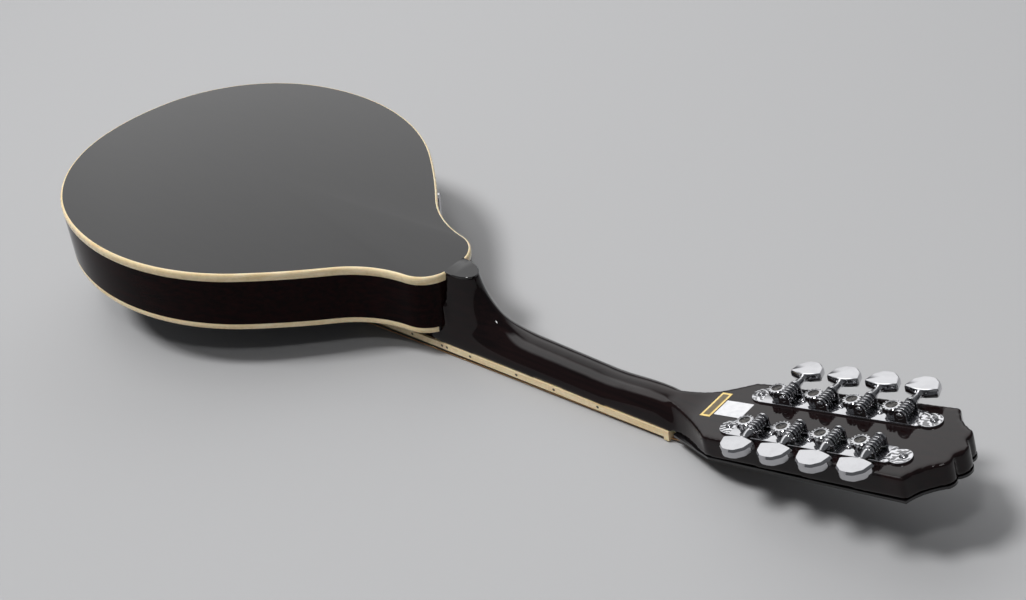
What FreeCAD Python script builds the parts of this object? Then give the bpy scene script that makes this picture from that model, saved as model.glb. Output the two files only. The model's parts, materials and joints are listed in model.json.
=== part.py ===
import FreeCAD, Part
import Sketcher
import math
import os
from FreeCAD import Placement, Rotation, Vector

# A flat-backed, arch-topped mandolin with a teardrop body, lying face down.
# Three frames are used.  The body frame has X along the centre line towards the head with
# zero at the nut, Y towards the treble side and Z out of the back, zero on the back.
# The neck frame starts on the glue face of the fretboard at the nut, the head frame on the
# nut's mid-height; both lean about Y.  The last placement turns the body frame so that the
# plane of the strings is level and the lowest point is at zero.

doc = FreeCAD.newDocument("mandolin")
sheet = doc.addObject("Spreadsheet::Sheet", "sizes")

SIZES = {
    "scale_length": 350.0,
    # body outline: tail position, then radius and sweep of each tangent arc from tail to neck
    "tail_end": -497.3,
    "tail_radius": 157.0, "tail_sweep": 11.2,
    "bout_radius": 114.4, "bout_sweep": 59.5,
    "flank_radius": 151.8, "flank_sweep": 58.8,
    "shoulder_radius": 477.0, "shoulder_sweep": 7.0,
    "waist_radius": 75.0, "waist_sweep": 37.8,
    "neck_corner_radius": 22.8,
    "body_depth": 44.0, "side_thick": 2.5, "plate_thick": 3.4,
    "binding_wide": 1.6, "back_binding_tall": 5.6, "top_binding_tall": 4.5,
    "lining_wide": 5.5, "lining_tall": 9.0,
    "arch_height": 15.0, "arch_thick": 4.0, "back_crown": 1.6,
    # neck
    "neck_slope": 5.5, "glue_height": -36.2, "board_thick": 4.7,
    "nut_width": 27.4, "board_growth": 0.0348, "board_end": -245.0,
    "neck_depth_nut": 12.8, "neck_depth_body": 17.9,
    "heel_joint": -168.7, "heel_start": -108.0, "heel_tip": -151.3, "heel_half_width": 9.4,
    "heel_bend": -146.5, "heel_bend_height": -19.5,
    "fret_count": 20.0, "fret_wide": 1.8,
    # head
    "head_slope": 19.12, "head_origin": -38.57, "head_back": 14.5, "head_thick": 13.0,
    "head_start": 42.0, "head_start_half": 28.7, "head_corner": 161.8, "head_corner_half": 32.4,
    "overlay_thick": 1.5,
    # tuners
    "first_post": 63.8, "tuner_pitch": 23.0, "post_half_gap": 16.35, "worm_height": 5.2,
    "centre_distance": 7.5, "gear_teeth": 14.0, "gear_radius": 5.6, "gear_root": 4.2,
    "gear_thick": 3.6, "thread_radius": 3.1, "thread_root": 1.9, "journal_radius": 1.5,
    "post_radius": 3.0, "post_reach": 9.5, "plate_metal": 1.1, "running_clearance": 0.05,
    "button_out": 30.4, "button_half_length": 9.6, "button_thick": 5.6,
    # strings and bridge
    "string_slope": 5.905, "nut_string_height": -43.3, "bridge_place": -351.0,
    "bridge_length": 112.0, "stud_half_gap": 37.0, "tailpiece_slope": 13.0,
    "stud_radius": 1.75, "wheel_radius": 6.0, "wheel_thick": 2.2, "wheel_gap": 1.0,
    # end pin, truss rod and its cover
    "pin_head_radius": 5.2, "pin_neck_radius": 3.4, "pin_stem_radius": 2.98, "pin_reach": 11.7,
    "rod_radius": 2.4, "rod_length": 151.0, "cover_thick": 1.4, "cover_length": 19.8,
    "guard_thick": 2.4, "ear_half": 3.6, "ear_thick": 1.2,
}
for row, (alias, value) in enumerate(SIZES.items(), start=1):
    sheet.set("A%d" % row, alias)
    sheet.set("B%d" % row, repr(value))
    sheet.setAlias("B%d" % row, alias)
doc.recompute()

WIDE = 400.0   # larger than anything that it cuts


def formula_of(value):
    """The spreadsheet formula of a size, or the number itself."""
    return value.formula if isinstance(value, Size) else repr(float(value))


class Size(float):
    """A length or angle that remembers how it follows from the spreadsheet's cells."""

    def __new__(cls, value, formula):
        made = super().__new__(cls, value)
        made.formula = formula
        return made

    def joined(self, value, sign, left, right):
        return Size(value, "(%s %s %s)" % (formula_of(left), sign, formula_of(right)))

    def __add__(self, other):
        return self.joined(float(self) + float(other), "+", self, other)

    def __radd__(self, other):
        return self.joined(float(other) + float(self), "+", other, self)

    def __sub__(self, other):
        return self.joined(float(self) - float(other), "-", self, other)

    def __rsub__(self, other):
        return self.joined(float(other) - float(self), "-", other, self)

    def __mul__(self, other):
        return self.joined(float(self) * float(other), "*", self, other)

    def __rmul__(self, other):
        return self.joined(float(other) * float(self), "*", other, self)

    def __truediv__(self, other):
        return self.joined(float(self) / float(other), "/", self, other)

    def __neg__(self):
        return self.joined(0.0 - float(self), "-", 0.0, self)


def size(alias):
    """A driving dimension, read from the spreadsheet."""
    return Size(float(sheet.get(alias)), "sizes." + alias)


def bind(item, name, value):
    """Sets a property, and ties it to the spreadsheet where the value comes from there."""
    setattr(item, name, float(value))
    if isinstance(value, Size):
        item.setExpression(name, value.formula)


def leaning(angle, x, z):
    """Placement of a frame whose X axis rises by the angle towards the head."""
    return Placement(Vector(x, 0, z), Rotation(Vector(0, 1, 0), -angle))


NECK = leaning(size("neck_slope"), 0, size("glue_height"))
HEAD = leaning(size("head_slope"), 0, size("head_origin"))
STRINGS = leaning(size("string_slope"), 0, size("nut_string_height"))
ROD = NECK.multiply(Placement(Vector(0, 0, 3.6), Rotation(Vector(0, 1, 0), 90)))
pieces = []


# ---------------------------------------------------------------- helpers

def keep(piece, label):
    """Mark a document object as one finished sub-part."""
    piece.Label = label
    pieces.append(piece)
    return piece


def feature(name, shape, place=None):
    """A Part::Feature that holds a shape drawn in the body frame, or in the frame given."""
    item = doc.addObject("Part::Feature", name)
    item.Shape = shape
    if place is not None:
        item.Placement = place
    return item


def box(name, low, high, place=None):
    """A Part::Box between two corners."""
    item = doc.addObject("Part::Box", name)
    for number, side in enumerate(("Length", "Width", "Height")):
        bind(item, side, high[number] - low[number])
    corner = Placement(Vector(*low), Rotation())
    item.Placement = corner if place is None else place.multiply(corner)
    return item


def rod(name, radius, low, high, place=None):
    """A Part::Cylinder along Z from low to high."""
    item = doc.addObject("Part::Cylinder", name)
    bind(item, "Radius", radius)
    bind(item, "Height", high - low)
    corner = Placement(Vector(0, 0, low), Rotation())
    item.Placement = corner if place is None else place.multiply(corner)
    return item


def fuse(name, items):
    item = doc.addObject("Part::MultiFuse", name)
    item.Shapes = items
    return item


def cut(name, base, tools):
    """Base less one or more tools."""
    item = doc.addObject("Part::Cut", name)
    item.Base = base
    item.Tool = tools[0] if len(tools) == 1 else fuse(name + "_tools", tools)
    return item


def common(name, base, tool):
    item = doc.addObject("Part::Common", name)
    item.Base = base
    item.Tool = tool
    return item


def solid_of(item):
    doc.recompute()
    return item.Shape.copy()


def sketch_in(body, name, role, corners):
    """A closed sketch of straight lines whose corners are tied to the sheet's sizes."""
    plane = [f for f in body.Origin.OriginFeatures if f.Role == role][0]
    sketch = body.newObject("Sketcher::SketchObject", name)
    sketch.AttachmentSupport = (plane, [""])
    sketch.MapMode = "FlatFace"
    points = [Vector(float(x), float(y), 0) for x, y in corners]
    for start, end in zip(points, points[1:] + points[:1]):
        sketch.addGeometry(Part.LineSegment(start, end), False)
    count = len(points)
    for number in range(count):
        sketch.addConstraint(Sketcher.Constraint("Coincident", number, 2, (number + 1) % count, 1))
    for number, (x, y) in enumerate(corners):
        for kind, value in (("DistanceX", x), ("DistanceY", y)):
            index = sketch.addConstraint(Sketcher.Constraint(kind, -1, 1, number, 1, float(value)))
            if isinstance(value, Size):
                sketch.setExpression("Constraints[%d]" % index, value.formula)
    return sketch


def padded(name, corners, length, place=None):
    """A body made by padding an outline drawn in the XY plane."""
    body = doc.addObject("PartDesign::Body", name)
    sketch = sketch_in(body, name + "_outline", "XY_Plane", corners)
    pad = body.newObject("PartDesign::Pad", name + "_pad")
    pad.Profile = sketch
    bind(pad, "Length", length)
    body.Placement = Placement() if place is None else place
    return body


def revolved(name, corners, place):
    """A body turned about Z from half sections drawn in the XZ plane as radius and height."""
    body = doc.addObject("PartDesign::Body", name)
    sketch = sketch_in(body, name + "_section", "XZ_Plane", corners)
    turn = body.newObject("PartDesign::Revolution", name + "_turn")
    turn.Profile = sketch
    turn.ReferenceAxis = (sketch, ["V_Axis"])
    turn.Angle = 360.0
    body.Placement = place
    return body


def polar(centre, radius, angle):
    turn = math.radians(angle)
    return Vector(centre.x + radius * math.cos(turn), centre.y + radius * math.sin(turn), 0)


# ---------------------------------------------------------------- body outline

def half_outline(inset):
    """The arcs from the tail to the neck on the treble side, moved in by the inset."""
    names = ["tail", "bout", "flank", "shoulder", "waist"]
    sweeps = [size(n + "_sweep") for n in names]
    radii = [size(n + "_radius") for n in names]
    sweeps.append(180.0 - sum(sweeps[:4]) + sweeps[4])
    radii.append(size("neck_corner_radius"))
    heading = 180.0          # direction from the arc's centre to its start
    point = Vector(size("tail_end"), 0, 0)
    arcs = []
    for number, (radius, sweep) in enumerate(zip(radii, sweeps)):
        hollow = number == 4
        side = -1.0 if hollow else 1.0
        centre = point - polar(Vector(), side * radius, heading)
        drawn = radius + inset if hollow else radius - inset
        turn = sweep if hollow else -sweep
        start = polar(centre, side * drawn, heading)
        middle = polar(centre, side * drawn, heading + turn / 2)
        end = polar(centre, side * drawn, heading + turn)
        arcs.append(Part.Arc(start, middle, end).toShape())
        point = polar(centre, side * radius, heading + turn)
        heading += turn
    front = arcs[-1].Vertexes[-1].Point
    return arcs, front


def outline_wire(inset):
    """The whole closed outline, moved in by the inset."""
    arcs, front = half_outline(inset)
    mirror = [edge.mirror(Vector(), Vector(0, 1, 0)) for edge in arcs]
    front_edge = Part.makeLine(Vector(front.x, -front.y, 0), front)
    return Part.Wire(Part.__sortEdges__(arcs + [front_edge] + mirror))


def outline_prism(inset, low, high):
    face = Part.Face(outline_wire(inset))
    face.translate(Vector(0, 0, low))
    return face.extrude(Vector(0, 0, high - low))


def ring(outer, inner, low, high):
    """A band between two insets of the outline."""
    return outline_prism(outer, low, high).cut(outline_prism(inner, low - 1, high + 1))


def arch(base_height, steps, direction):
    """A domed solid: scaled outlines lofted to each (scale, rise), closed by a flat crown."""
    centre = Vector(size("bridge_place"), 0, 0)
    base = outline_wire(size("binding_wide"))
    wires = []
    for factor, rise in steps:
        wire = base.copy()
        wire.scale(factor, centre)
        wire.translate(Vector(0, 0, base_height + direction * rise))
        wires.append(wire)
    return Part.makeLoft(wires, True, False)


TOP_RIM = -size("body_depth")
TAIL = leaning(-size("tailpiece_slope"), size("tail_end"), TOP_RIM - 0.6)
BINDING = size("binding_wide")
SIDE = size("side_thick")
PLATE = size("plate_thick")
ARCH = size("arch_height")
top_outside = arch(TOP_RIM, [(1.0, 0.0), (0.9, 1.6), (0.72, 7.0), (0.45, ARCH - 1.2), (0.24, ARCH)], -1)
BRIDGE_FLOOR = TOP_RIM - ARCH - 7.0     # lower face of the bridge base, above the arch
WHEEL_SPAN = (BRIDGE_FLOOR - size("wheel_gap") - size("wheel_thick"), BRIDGE_FLOOR - size("wheel_gap"))
INNER_ARCH = ARCH - size("arch_thick") + PLATE
top_inside = arch(TOP_RIM + PLATE, [(0.93, -1.0), (0.86, 0.9), (0.7, 5.8),
                                    (0.44, INNER_ARCH - 1.2), (0.24, INNER_ARCH)], -1)


# ---------------------------------------------------------------- body

def f_hole(side):
    """One f-hole: two round ends joined by a curved slot, as tools that cut through the top."""
    place = size("bridge_place")
    ends = [Vector(place + 34, side * 44, 0), Vector(place - 30, side * 66, 0)]
    radii = [4.2, 5.4]
    tools = [Part.makeCylinder(r, 60, end + Vector(0, 0, -90)) for r, end in zip(radii, ends)]
    slot_half = 2.2
    bulge = Vector(place + 2, side * 60, 0)
    waist = Part.Arc(ends[0], bulge, ends[1]).toShape().Curve
    centre, radius = waist.Center, waist.Radius
    inner = Part.makeCylinder(radius - slot_half, 60, Vector(centre.x, centre.y, -90))
    outer = Part.makeCylinder(radius + slot_half, 60, Vector(centre.x, centre.y, -90))
    wedge = Part.makePolygon([centre, ends[0] + (ends[0] - centre), ends[1] + (ends[1] - centre), centre])
    sector = Part.Face(wedge).extrude(Vector(0, 0, 60))
    sector.translate(Vector(0, 0, -90))
    return [outer.cut(inner).common(sector)] + tools


def make_body():
    depth_back = -size("back_binding_tall")
    depth_top = TOP_RIM + size("top_binding_tall")
    heel = size("heel_half_width")
    back_gap = box("back_binding_gap", (-180, -heel, depth_back), (-150, heel, 5))
    half_board = size("nut_width") / 2 + size("board_growth") / 2 * -size("heel_joint") + 0.4
    top_gap = box("top_binding_gap", (-180, -half_board, TOP_RIM - 1), (-150, half_board, depth_top))

    envelope = outline_prism(0, TOP_RIM, 0)
    gaps = Part.makeCompound([solid_of(back_gap), solid_of(top_gap)])
    core = outline_prism(BINDING, TOP_RIM, 0)
    body_space = envelope.cut(gaps).fuse(core).removeSplitter()

    crown = arch(0, [(1.0, 0.0), (0.86, 0.9), (0.55, size("back_crown"))], 1)
    slab = outline_prism(BINDING, -PLATE, 0)
    keep(feature("back_plate_body", slab.fuse(crown).removeSplitter()), "back_plate")

    rim = outline_prism(BINDING, TOP_RIM, TOP_RIM + PLATE).fuse(top_outside).cut(top_inside)
    holes = Part.makeCompound(f_hole(1) + f_hole(-1))
    keep(feature("top_plate_body", rim.cut(holes)), "top_plate")

    back_ring = feature("back_binding_ring", ring(0, BINDING, depth_back, 0))
    keep(cut("back_binding_body", back_ring, [back_gap]), "binding_back")
    top_ring = feature("top_binding_ring", ring(0, BINDING, TOP_RIM, depth_top))
    keep(cut("top_binding_body", top_ring, [top_gap]), "binding_top")

    wall = ring(0, SIDE, depth_top, depth_back)
    lip = ring(BINDING, SIDE, TOP_RIM + PLATE, -PLATE)
    tenon = box("neck_tenon_slot", (-186, -8, -60), (-150, 8, -4))
    pin_hole = rod("end_pin_hole", 3.0, -60, 60, tail_place())
    whole_walls = feature("side_walls_whole", wall.fuse(lip).removeSplitter())
    walls = cut("side_walls", whole_walls, [tenon, pin_hole])
    for label, low in (("side_bass", -WIDE), ("side_treble", 0)):
        half = box(label + "_half", (-WIDE * 2, low, -100), (WIDE, low + WIDE, 10))
        keep(common(label + "_body", walls, half), label)

    inside = feature("inside_space", outline_prism(SIDE, TOP_RIM + PLATE, -PLATE))
    neck_end = box("neck_block_box", (-222, -30, -60), (-150, 30, 10))
    tail_end = box("tail_block_box", (size("tail_end") - 5, -38, -60), (size("tail_end") + 20, 38, 10))
    keep(cut("neck_block_body", common("neck_block_outer", inside, neck_end), [tenon]), "neck_block")
    keep(cut("tail_block_body", common("tail_block_outer", inside, tail_end), [pin_hole]), "tail_block")

    inner = SIDE + size("lining_wide")
    tall = size("lining_tall")
    linings = []
    for name, low in (("top", TOP_RIM + PLATE), ("back", -PLATE - tall)):
        band = feature(name + "_lining_ring", ring(SIDE, inner, low, low + tall))
        linings.append(cut(name + "_lining", band, [neck_end, tail_end]))
    keep(fuse("linings_body", linings), "kerfed_linings")

    bars = []
    hollow = feature("under_top_hollow", top_inside.fuse(outline_prism(SIDE, TOP_RIM + PLATE, -20)))
    for side in (-1, 1):
        lean = Placement(Vector(size("bridge_place"), side * 34, 0), Rotation(Vector(0, 0, 1), side * 4))
        bar = box("tone_bar_%d" % (side + 2), (-75, -3, -60), (75, 3, -38), lean)
        bars.append(common("tone_bar_fitted_%d" % (side + 2), bar, hollow))
    for number, place in enumerate((-290, -400)):
        bars.append(box("back_brace_%d" % number, (place - 3.5, -86, -PLATE - 9), (place + 3.5, 86, -PLATE)))
    keep(fuse("braces_body", bars), "braces")
    return feature("body_space", body_space)


def tail_place():
    """The axis of the end pin, pointing out of the tail."""
    return Placement(Vector(size("tail_end"), 0, -22), Rotation(Vector(0, 1, 0), -90))


# ---------------------------------------------------------------- neck and head

def arch_section(base, rise_to, half_width):
    """A D-shaped section: a flat base across Y and a half ellipse that reaches rise_to."""
    axis = rise_to - base
    left = base + Vector(0, -half_width, 0)
    right = base + Vector(0, half_width, 0)
    if axis.Length >= half_width:
        ellipse = Part.Ellipse(rise_to, right, base)
    else:
        ellipse = Part.Ellipse(right, rise_to, base)
    start, end = ellipse.parameter(left), ellipse.parameter(right)
    for first, last in ((start, end), (end, start)):
        span = last - first if last > first else last - first + 2 * math.pi
        arc = ellipse.toShape(first, first + span)
        middle = arc.valueAt((arc.FirstParameter + arc.LastParameter) / 2)
        if (middle - rise_to).Length < axis.Length:
            break
    ends = [vertex.Point for vertex in arc.Vertexes]
    return Part.Wire([arc, Part.makeLine(ends[-1], ends[0])])


def board_half(x):
    return size("nut_width") / 2 - size("board_growth") / 2 * x


def bezier(points, share):
    """A point on a curve of four control points."""
    weights = [(1 - share) ** 3, 3 * share * (1 - share) ** 2, 3 * share ** 2 * (1 - share), share ** 3]
    return sum((point * weight for point, weight in zip(points, weights)), Vector())


def upright(solid):
    """The same solid with its faces turned outwards."""
    if solid.Volume < 0:
        solid.reverse()
    return solid


def neck_shaft():
    """The carved neck: D sections across it, from under the head to the start of the heel."""
    sections = []
    for x in (24.0, 0.0, -60.0, size("heel_start")):
        sections.append(arch_section(glue_point(x, 0.5), Vector(x, 0, back_height(x)), board_half(x)))
    return upright(Part.makeLoft(sections, True, False))


def glue_point(x, under):
    """A point a little under the glue face of the fretboard."""
    return Vector(x, 0, size("glue_height") + math.tan(math.radians(size("neck_slope"))) * x - under)


def back_height(x):
    """Height of the neck's back over x."""
    share = -x / 150.0
    depth = size("neck_depth_nut") * (1 - share) + size("neck_depth_body") * share
    return glue_point(x, 0).z + depth


def heel():
    """D sections that turn from across the neck to level with the back of the body."""
    start = size("heel_start")
    top = 0.8
    inner = -180.0
    follow = 23.0       # how far the ridge first follows the back of the neck
    ridge = [Vector(start, 0, back_height(start)), Vector(start - follow, 0, back_height(start - follow)),
             Vector(size("heel_bend"), 0, size("heel_bend_height")), Vector(size("heel_tip"), 0, top)]
    corner = glue_point(inner, 0.5)
    steps = 24
    sections = []
    for step in range(steps + 1):
        share = step / steps
        if share <= 0.4:
            base = glue_point(start + (inner - start) * share / 0.4, 0.5)
            half = board_half(start) + (board_half(inner) - board_half(start)) * share / 0.4
        else:
            rise = (share - 0.4) / 0.6
            base = Vector(inner, 0, corner.z + (top - corner.z) * rise)
            half = board_half(inner) + (size("heel_half_width") + 1.4 - board_half(inner)) * rise
        sections.append(arch_section(base, bezier(ridge, share), half))
    return upright(Part.makeLoft(sections, True, True))


def head_plate():
    """The head: straight sides, hollow shoulders and a small round lobe at the end."""
    start, half = size("head_start"), size("head_start_half")
    corner, wide = size("head_corner"), size("head_corner_half")
    low = size("head_back") - size("head_thick")
    edges = []
    tip = Vector(corner + 14.6, 7, 0)
    shoulder = Vector(corner + 13.8, 15.4, 0)
    for side in (1, -1):
        def at(point, flip=side):
            return Vector(point.x, flip * point.y, 0)
        edges.append(Part.makeLine(at(Vector(start, half, 0)), at(Vector(corner, wide, 0))))
        hollow = Vector(corner + 4.7, 23.4, 0)
        edges.append(Part.Arc(at(Vector(corner, wide, 0)), at(hollow), at(shoulder)).toShape())
        round_over = Vector(corner + 15.6, 11.2, 0)
        edges.append(Part.Arc(at(shoulder), at(round_over), at(tip)).toShape())
    edges.append(Part.Arc(tip, Vector(corner + 18.6, 0, 0), Vector(tip.x, -7, 0)).toShape())
    edges.append(Part.makeLine(Vector(start, half, 0), Vector(start, -half, 0)))
    face = Part.Face(Part.Wire(Part.__sortEdges__(edges)))
    face.translate(Vector(0, 0, low))
    plate = face.extrude(Vector(0, 0, size("head_thick")))
    return plate


def flare():
    """The stretch between nut and head, from the neck's width to the head's."""
    low = size("head_back") - size("head_thick")
    high = size("head_back")
    rows = [(-1.0, 13.4, 4.5), (12.0, 14.6, 9.0), (27.0, 21.4, 17.2),
            (size("head_start"), size("head_start_half"), size("head_start_half"))]
    wires = []
    for along, front, back in rows:
        points = [Vector(along, -front, low), Vector(along, front, low),
                  Vector(along, back, high), Vector(along, -back, high)]
        wires.append(Part.makePolygon(points + points[:1]))
    return Part.makeLoft(wires, True, False)


def make_neck(body_space):
    """Neck, heel and head cut from one piece of wood, less the body, the board and bores."""
    above = box("above_glue", (size("board_end") - 5, -60, -60), (60, 60, 0), NECK)
    level_back = box("heel_cap_level", (-200, -60, 0), (-100, 60, 20))
    shaft = fuse("neck_carved", [feature("neck_shaft", neck_shaft()), feature("neck_heel", heel())])
    arch_space = feature("arch_space", top_outside)
    joint_trim = cut("neck_shaft_trim", shaft, [above, body_space, level_back, arch_space])
    head_low = size("head_back") - size("head_thick")
    front_trim = box("front_trim", (-20, -60, head_low - 40), (60, 60, head_low), HEAD)
    throat = feature("head_flare", flare(), HEAD)
    blank = feature("head_blank", head_plate(), HEAD)
    seat = box("nut_seat", (-30, -60, -60), (3.6, 60, 0), NECK)
    tongue = box("neck_tongue", (size("board_end") + 5, -15, 0), (-165, 15, 30), NECK)
    tongue_trim = cut("neck_tongue_trim", tongue, [arch_space, body_space])
    tenon = box("neck_tenon", (-185.9, -7.9, -39.5), (-165, 7.9, -4.1))
    shaft_front = cut("neck_shaft_front", joint_trim, [front_trim])
    throat_trim = cut("flare_trim", throat, [seat])
    whole = fuse("neck_whole", [shaft_front, throat_trim, blank, tongue_trim, tenon])
    channel = box("truss_channel", (-152, -2.6, -0.2), (4, 2.6, 6.4), NECK)
    pocket = box("truss_pocket", (2, -4.4, head_low - 1), (24, 4.4, head_low + 7.6), HEAD)
    bores = [rod("post_bore_%d" % k, 4.25, head_low - 1, size("head_back") + 1, place)
             for k, (name, place, side) in enumerate(posts())]
    keep(cut("neck_body", whole, [channel, pocket] + bores), "neck")


def posts():
    """Name, placement on the head and side of each tuner's post."""
    found = []
    for word, side in (("bass", -1), ("treble", 1)):
        for number in range(4):
            along = size("first_post") + number * size("tuner_pitch")
            spot = Placement(Vector(along, side * size("post_half_gap"), 0), Rotation())
            found.append(("%s_%d" % (word, number + 1), HEAD.multiply(spot), side))
    return found


def make_head_parts():
    low = size("head_back") - size("head_thick")
    thick = size("overlay_thick")
    face = head_plate().common(Part.makeBox(WIDE, WIDE, 20, Vector(0, -200, low - 5)))
    skin = face.common(Part.makeBox(WIDE, WIDE, 0.5, Vector(0, -200, low)))
    start = size("head_start")
    neck_end = Part.makePolygon([Vector(9, -15.2, low), Vector(start, -size("head_start_half"), low),
                                 Vector(start, size("head_start_half"), low), Vector(9, 15.2, low),
                                 Vector(9, -15.2, low)])
    bottom = [f for f in skin.Faces if abs(f.CenterOfMass.z - low) < 0.01][0]
    sheet_solid = bottom.extrude(Vector(0, 0, -thick)).fuse(Part.Face(neck_end).extrude(Vector(0, 0, -thick)))
    blank = feature("overlay_blank", sheet_solid.removeSplitter(), HEAD)
    bores = [rod("overlay_bore_%d" % k, 4.25, low - 5, low + 1, place)
             for k, (name, place, side) in enumerate(posts())]
    pocket = box("overlay_pocket", (2, -4.4, low - 5), (24, 4.4, low + 1), HEAD)
    keep(cut("overlay_body", blank, [pocket] + bores), "head_overlay")

    start, length = 10.2, size("cover_length")
    corners = [(start, -7.0), (start + length, -5.0), (start + length, 5.0), (start, 7.0)]
    under = Placement(Vector(0, 0, low - thick - size("cover_thick")), Rotation())
    keep(padded("rod_cover_body", corners, size("cover_thick"), HEAD.multiply(under)), "truss_rod_cover")

    keep(rod("truss_bar", size("rod_radius"), 1.0 - size("rod_length"), 1.0, ROD), "truss_rod")
    barrel = rod("truss_nut_barrel", 3.2, 1.2, 8.2, ROD)
    hexagon = Part.Face(Part.makePolygon([polar(Vector(), 2.3, 60 * k) for k in range(7)]))
    hollow = hexagon.extrude(Vector(0, 0, 6))
    hollow.translate(Vector(0, 0, 4))
    keep(cut("truss_nut_body", barrel, [feature("hex_socket", hollow, ROD)]), "truss_rod_nut")


# ---------------------------------------------------------------- fretboard

def fret_place(number):
    """Distance of a fret from the nut, towards the body, in the neck frame."""
    return -size("scale_length") * (1 - 2 ** (-number / 12.0))


def make_fretboard():
    thick = size("board_thick")
    end = size("board_end")
    rim = 1.5

    def taper(inset, low, high):
        start = Vector(0, board_half(0) - inset, 0)
        finish = Vector(end + inset, board_half(end) - inset, 0)
        corners = [start, finish, Vector(finish.x, -finish.y, 0), Vector(0, -start.y, 0), start]
        solid = Part.Face(Part.makePolygon(corners)).extrude(Vector(0, 0, high - low))
        solid.translate(Vector(0, 0, low))
        return solid

    frets = []
    slots = []
    for number in range(1, int(size("fret_count")) + 1):
        x = fret_place(number)
        half = board_half(x) - rim
        tang = Part.makeBox(0.5, 2 * half - 1, 2.2, Vector(x - 0.25, 0.5 - half, -thick))
        crown = Part.makeCylinder(size("fret_wide") / 2, 2 * half, Vector(x, -half, -thick), Vector(0, 1, 0))
        lower = Part.makeBox(4, 60, 4, Vector(x - 2, -30, -thick - 4))
        slots.append(tang)
        frets.append(crown.common(lower).fuse(tang))
    board = taper(rim, -thick, 0)
    dot_places = [3, 5, 7, 10, 15]
    dots = []
    for number in dot_places:
        middle = (fret_place(number) + fret_place(number - 1)) / 2
        dots.append(Part.makeCylinder(3.0, 1.2, Vector(middle, 0, -thick)))
    middle = (fret_place(12) + fret_place(11)) / 2
    dots += [Part.makeCylinder(2.4, 1.2, Vector(middle, y, -thick)) for y in (-6, 6)]
    keep(feature("fretboard_body", board.cut(Part.makeCompound(slots + dots)), NECK), "fretboard")
    keep(feature("frets_body", Part.makeCompound(frets), NECK), "frets")
    keep(feature("position_dots_body", Part.makeCompound(dots), NECK), "position_dots")
    edge = taper(0, -thick, 0).cut(taper(rim, -thick - 1, 1))
    keep(feature("board_edge_body", edge, NECK), "fretboard_binding")

    height = thick + 2.2
    nut = box("nut_blank", (0.02, -board_half(0), -height), (3.5, board_half(0), 0), NECK)
    grooves = feature("nut_grooves", string_grooves(3))
    keep(cut("nut_body", nut, [grooves]), "nut")


def string_routes():
    """The corners of each string, from its hook on the tailpiece to its post, and its radius."""
    gauges = [0.51, 0.51, 0.36, 0.36, 0.25, 0.25, 0.2, 0.2]
    order = [0, 1, 2, 3, 7, 6, 5, 4]
    low = size("head_back") - size("head_thick") - size("overlay_thick")
    routes = []
    for k, (y_nut, y_bridge) in enumerate(string_lines()):
        y_hook = 4.5 * (k - 3.5)
        hook = TAIL.multVec(Vector(17.0 + gauges[k], y_hook, -4.4))
        ledge = TAIL.multVec(Vector(43.0, (y_hook + y_bridge) / 2, -4.4))
        saddle = STRINGS.multVec(Vector(size("bridge_place"), y_bridge, 0))
        nut = STRINGS.multVec(Vector(1.8, y_nut, 0))
        name, spot, side = posts()[order[k]]
        peg = spot.multVec(Vector(0, -side * (2.1 + gauges[k]), low - 3.6))
        routes.append(([hook, ledge, saddle, nut, peg], gauges[k]))
    return routes


def string_grooves(corner):
    """Tools for the grooves that hold the strings at one corner of their routes."""
    tools = []
    for route, gauge in string_routes():
        wide = gauge + 0.04
        runs = [Part.makeCylinder(wide, 14, route[corner], other - route[corner])
                for other in (route[corner - 1], route[corner + 1])]
        tools.append(Part.makeSphere(wide, route[corner]).fuse(runs))
    return Part.makeCompound(tools)


def string_lines():
    """Where each of the eight strings crosses the nut and the bridge, bass to treble."""
    lines = []
    for course in range(4):
        for member in (-1, 1):
            lines.append((-9.9 + 6.6 * course + member * 1.05, -18 + 12 * course + member * 1.4))
    return lines


# ---------------------------------------------------------------- bridge and tailpiece

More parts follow.
